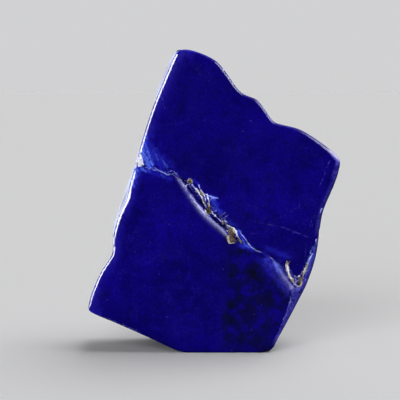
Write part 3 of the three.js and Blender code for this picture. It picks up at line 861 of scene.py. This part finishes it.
fades = {  # where something starts and is full, and its least and most share; places in millimetres
    "dustyParts": (0.52, 0.64),
    "dustSpecks": (0.56, 0.70, 0, 0.3),
    "upperBlock": (42, 72, 0, 0.2),
    "darkFromLeft": (0.6, 5.4),
    "darkFromAbove": (53, 43),
    "darkInFront": (-1, -9),
    "backBlots": (0.50, 0.64, 0, 0.6),
    "onBack": (1, 9),
    "darkLower": (-4, 10, 1, 0.75),
    "nightBlots": (0.38, 0.56, 0.1, 0.8),
    "blackBlots": (0.40, 0.70, 0, 0.85),
    "brightBlots": (0.47, 0.33, 0, 0.6),
    "leftStreaks": (0.35, 0.65, 0.25, 0.9),
    "halo": (0.02, 0.35, 0, 0.6),
    "azureWisps": (0.3, 0.6, 0.3, 1.0),
    "azureGrains": (0.38, 0.58, 0.55, 1.0),
    "azureCore": (0.25, 0.9),
    "azureStreaks": (0.48, 0.66, 0, 0.6),
    "streaksOnLeft": (-10, -15, 0.15, 1),
    "sheenLeast": (9, 17, 0.65, 0.12),
    "sheenGrains": (0.36, 0.56, 0.6, 1.0),
    "glareWisps": (0.3, 0.6, 0.55, 1.0),
    "dotGrains": (0.5, 0.65, 0, 0.7),
    "paleStreaks": (0.34, 0.60, 0.3, 1.0),
    "paleGrains": (0.38, 0.58, 0.35, 1.0),
    "oliveGrains": (0.48, 0.62),
    "ochreGrains": (0.4, 0.6),
    "creamGrains": (0.4, 0.65),
    "calciteGrains": (0.52, 0.66, 0, 0.8),
    "calciteWisps": (0.50, 0.40, 0, 0.7),
    "scratchDepth": (-11.4, -12.2),
    "paleBits": (0.06, 0.03, 0, 0.4),
    "crustSpecks": (0.2, 0.6, 0.0, 0.30),
    "cloudSpecks": (0.50, 0.66, 0.0, 0.07),
    "speckSize": (0.11, 0.07),
    "handled": (0.35, 0.65, 0.08, 0.15),
    "rollDull": (9, 17, 0.24, 0.55),
    "crustDull": (0.1, 0.6, 0.10, 0.62),
}
sheenWisps = (0.34, 0.58)
frays = {  # the size of the crumbs in millimetres, and how far they fray the mask
    "dots": (0.42, 1.7),
    "vein": (0.4, 1.4),
    "olive": (0.5, 0.8),
    "ochre": (0.45, 1.3),
    "cream": (0.4, 1.4),
    "calcite": (0.36, 1.8),
    "hole": (0.5, 0.5),
    "soot": (0.6, 0.3),
}

frayedMask = frayGroup()
hairline = hairlineGroup()
polished, tree, shader = material("polishedLapis")
place = scaled(tree, addNode(tree, "TexCoord").outputs["Object"], 1 / mm)
spot = addNode(tree, "SeparateXYZ", s0=place).outputs


def pattern(name, where=place):
    return noiseNode(tree, where, *patterns[name])


def fade(value, name):
    return ramp(tree, value, *fades[name])


def times(first, *others):
    for other in others:
        first = calc(tree, "MULTIPLY", first, other)
    return first


def maskOf(kind):  # as it was painted on the skin
    return addNode(tree, "Attribute", {"attribute_name": kind}).outputs["Fac"]


def frayed(kind):
    crumb, fray = frays[kind]
    return groupNode(tree, frayedMask, Mask=maskOf(kind), Place=place, Crumb=crumb, Fray=fray)


def blend(share, first, second):  # two of the stone's colours
    return mixColor(tree, share, lapis[first], lapis[second])


def paint(under, share, over):  # a colour's name, or a mix of colours, over what is there
    return mixColor(tree, share, under, lapis[over] if isinstance(over, str) else over)


noises = {name: pattern(name) for name in ("clouds", "blotches", "smallBlots", "grains", "dust", "wisps")}
blotches, smallBlots, grains, wisps = (noises[name] for name in ("blotches", "smallBlots", "grains", "wisps"))
color = lapis["deep"]
for name, start, end, most, tint in ground:
    color = paint(color, ramp(tree, noises[name], start, end, 0, most), tint)
color = paint(color, times(fade(blotches, "dustyParts"), fade(noises["dust"], "dustSpecks")), "haze")
color = paint(color, fade(spot[2], "upperBlock"), "dark")

# the dark mottled part, low on the right of the front, and faint dark patches on the back
unevenEdge = times(calc(tree, "SUBTRACT", blotches, 0.5), 8.0)
fromLeft = fade(calc(tree, "ADD", spot[0], unevenEdge), "darkFromLeft")
fromAbove = fade(calc(tree, "ADD", spot[2], calc(tree, "ADD", unevenEdge, spot[0])), "darkFromAbove")
darkPart = times(fromLeft, fromAbove, fade(spot[1], "darkInFront"))
onBack = times(fade(pattern("backBlots"), "backBlots"), fade(spot[1], "onBack"))
darkPart = calc(tree, "MAXIMUM", darkPart, onBack)
darkPart = times(darkPart, fade(calc(tree, "SUBTRACT", spot[0], spot[2]), "darkLower"))
color = paint(color, times(darkPart, fade(pattern("bigBlots"), "nightBlots")), "night")
color = paint(color, times(darkPart, fade(smallBlots, "blackBlots")), "black")
color = paint(color, times(darkPart, fade(smallBlots, "brightBlots")), "bright")

# painted light along the left edge, the azure beside the seam, and its fibres
fibres = addNode(tree, "CombineXYZ",
                 s0=vectorCalc(tree, "DOT_PRODUCT", place, (1.2, 0, 0.85))["Value"],
                 s1=times(spot[1], 0.5),
                 s2=vectorCalc(tree, "DOT_PRODUCT", place, (0.2, 0, -0.3))["Value"]).outputs[0]
streaky = pattern("streaks", fibres)
color = paint(color, times(maskOf("leftEdge"), fade(streaky, "leftStreaks")), "glow")
color = paint(color, fade(maskOf("calcite"), "halo"), "azure")
azure = maskOf("azure")
sparkle = times(fade(wisps, "azureWisps"), fade(grains, "azureGrains"))
color = paint(color, times(azure, sparkle), "azure")
streaks = times(fade(azure, "azureCore"), fade(streaky, "azureStreaks"), fade(spot[0], "streaksOnLeft"))
color = paint(color, streaks, "pale")
# painted sheen and painted highlights, then dotted painted highlights along the edges
sheenPattern = ramp(tree, wisps, *sheenWisps, low=fade(spot[0], "sheenLeast"))
color = paint(color, times(maskOf("haze"), times(sheenPattern, fade(grains, "sheenGrains"))), "haze")
color = paint(color, times(maskOf("glare"), fade(wisps, "glareWisps")), "glare")
color = paint(color, frayed("dots"), blend(fade(grains, "dotGrains"), "haze", "vein"))
color = paint(color, times(maskOf("pale"), fade(streaky, "paleStreaks"), fade(grains, "paleGrains")), "pale")
white = paint(blend(fade(grains, "calciteGrains"), "calcite", "cream"), fade(wisps, "calciteWisps"), "vein")
mineralsAndShade = {
    "vein": "vein",
    "olive": blend(fade(grains, "oliveGrains"), "olive", "sand"),
    "ochre": blend(fade(grains, "ochreGrains"), "ochre", "rust"),
    "cream": blend(fade(grains, "creamGrains"), "sand", "cream"),
    "calcite": white,
    "hole": "olive",
    "soot": "soot",
}
# the minerals' colours, and painted shade in the hollows and the crevices
for kind, tint in mineralsAndShade.items():
    color = paint(color, frayed(kind), tint)

# fine scratches on the front, and sparse pale specks
onFront = vectorCalc(tree, "MULTIPLY", place, (1, 0, 1))[0]
scratched = 0.0
for (x0, z0), (x1, z1), width, strength in scratches:
    scratch = groupNode(tree, hairline, Place=onFront, Start=(x0, 0, z0), End=(x1, 0, z1),
                        Width=width, Strength=strength)
    scratched = calc(tree, "MAXIMUM", scratch, scratched)
color = paint(color, times(scratched, fade(spot[1], "scratchDepth")), "haze")
bits = addNode(tree, "TexVoronoi", Vector=place, Scale=0.22)
color = paint(color, fade(bits.outputs["Distance"], "paleBits"), "haze")

# sparse specks of pyrite, thicker on the broken ledge
crust = maskOf("crust")
cells = addNode(tree, "TexVoronoi", Vector=place, Scale=0.55)
chance = addNode(tree, "SeparateColor", s0=cells.outputs["Color"]).outputs[0]
thick = calc(tree, "MAXIMUM", fade(crust, "crustSpecks"), fade(noises["clouds"], "cloudSpecks"))
speck = times(fade(cells.outputs["Distance"], "speckSize"), calc(tree, "LESS_THAN", chance, thick))
color = paint(color, speck, "pyrite")
tree.links.new(color, shader.inputs["Base Color"])
tree.links.new(speck, shader.inputs["Metallic"])

# unevenly polished: dull on the roll-over, where the edge is worn and on the crust
dull = times(maskOf("roll"), fade(spot[0], "rollDull"))
polish = calc(tree, "MAXIMUM", fade(pattern("handling"), "handled"), dull)
polish = calc(tree, "MAXIMUM", polish, times(maskOf("worn"), 0.24))
roughness = calc(tree, "MAXIMUM", polish, fade(crust, "crustDull"))
tree.links.new(roughness, shader.inputs["Roughness"])
shader.inputs["Specular IOR Level"].default_value = 0.4
bump = addNode(tree, "Bump", Strength=1.0, Distance=0.0004, Height=times(pattern("crumble"), crust))
tree.links.new(bump.outputs[0], shader.inputs["Normal"])
mesh.materials.clear()
mesh.materials.append(polished)
print("material:", len(tree.nodes), "nodes")

studio = {
    "target": (-4.9, 0, 49.566),  # what the camera looks at, in millimetres
    "distance": 480,
    "rise": 6,  # degrees above the horizon
    "lens": 128.6,
    "sensor": 36,
    "nearest": 0.01,  # metres
    "floorRadius": 3.0,
    "floorSides": 96,
    "floorColor": (0.45, 0.45, 0.455, 1),
    "floorRoughness": 0.8,
    "airColor": (0.64, 0.64, 0.65, 1),
    "airInGloss": 0.015,  # the air's strength where the gloss sees it
    "airMoreInSoft": 0.21,  # and how much more of it soft light sees
    "lampTarget": (0, 0, 0.05),
}
panels = {  # lamps that only polished surfaces see: place, size, power in watts and colour
    "seamPanel": ((0.70, -0.40, 0.64), (0.42, 0.42), 6.6, (0.82, 0.84, 1)),
    "leftStrip": ((-0.90, -0.45, 0.31), (0.42, 0.7), 30.0, (0.96, 0.97, 1)),
    "lowLeftPanel": ((-0.995, -0.10, -0.12), (0.13, 0.24), 8.0, (0.96, 0.97, 1)),
    "leftBackPanel": ((-0.75, 0.8, 0.4), (0.8, 0.9), 12.0, (0.8, 0.84, 1)),
    "behindPanel": ((-0.4, 1.2, 0.12), (0.55, 0.5), 1.2, (0.76, 0.82, 1)),
    "shoulderPanel": ((0.36, 0.38, 0.84), (0.55, 0.16), 0.5, (0.74, 0.72, 1)),
    "cornerLamp": ((0.83, 0.05, 0.52), (0.14, 0.14), 2.2, (0.94, 0.94, 1)),
    "rightBackPanel": ((0.93, 0.48, 0.3), (0.4, 0.7), 1.2, (0.85, 0.85, 1)),
}
suns = {  # lamps for everything but the gloss: the way to the lamp, its strength and its width in degrees
    "overhead": ((0.45, 0.12, 0.9), 3.0, 55),
    "frontSoft": ((-0.35, -0.85, 0.40), 2.4, 45),
    "backSoft": ((0.3, 0.8, 0.5), 0.7, 50),
}


def studioFloor():
    shape = bmesh.new()
    bmesh.ops.create_circle(shape, cap_ends=True, segments=studio["floorSides"], radius=studio["floorRadius"])
    disc = bpy.data.meshes.new("studioFloor")
    shape.to_mesh(disc)
    shape.free()
    made = bpy.data.objects.new("studioFloor", disc)
    scene.collection.objects.link(made)
    return made


floor = studioFloor()
paper, _, paperShader = material("palePaper")
paperShader.inputs["Base Color"].default_value = studio["floorColor"]
paperShader.inputs["Roughness"].default_value = studio["floorRoughness"]
paperShader.inputs["Specular IOR Level"].default_value = 0
floor.data.materials.append(paper)
floor.visible_glossy = False


def hang(name, light, position, target):
    lamp = bpy.data.objects.new(name, light)
    lamp.location = position
    lamp.rotation_euler = (Vector(target) - Vector(position)).to_track_quat("-Z", "Y").to_euler()
    lamp.visible_camera = False
    scene.collection.objects.link(lamp)
    return lamp


for name, (position, size, power, tint) in panels.items():
    light = bpy.data.lights.new(name, "AREA")
    light.shape = "RECTANGLE"
    light.size, light.size_y = size
    light.energy = power
    light.color = tint
    hang(name, light, position, studio["lampTarget"]).visible_diffuse = False
for name, (way, power, width) in suns.items():
    light = bpy.data.lights.new(name, "SUN")
    light.energy = power
    light.angle = math.radians(width)
    hang(name, light, way, (0, 0, 0)).visible_glossy = False

world = bpy.data.worlds.new("studioAir")
scene.world = world
world.use_nodes = True
airTree = world.node_tree
air = airTree.nodes["Background"]
air.inputs["Color"].default_value = studio["airColor"]
paths = addNode(airTree, "LightPath").outputs
softAir = calc(airTree, "MULTIPLY_ADD", paths["Is Diffuse Ray"], studio["airMoreInSoft"])
softAir.node.inputs[2].default_value = studio["airInGloss"]
airStrength = calc(airTree, "MAXIMUM", paths["Is Camera Ray"], softAir)
airTree.links.new(airStrength, air.inputs["Strength"])

camera = bpy.data.objects.new("camera", bpy.data.cameras.new("camera"))
camera.data.lens = studio["lens"]
camera.data.sensor_width = studio["sensor"]
camera.data.clip_start = studio["nearest"]
aim = Vector(studio["target"]) * mm
tilt = math.radians(studio["rise"])
camera.location = aim + Vector((0, -math.cos(tilt), math.sin(tilt))) * studio["distance"] * mm
camera.rotation_euler = (aim - camera.location).to_track_quat("-Z", "Y").to_euler()
scene.collection.objects.link(camera)
scene.camera = camera
print("studio:", len(panels), "panels and", len(suns), "suns")
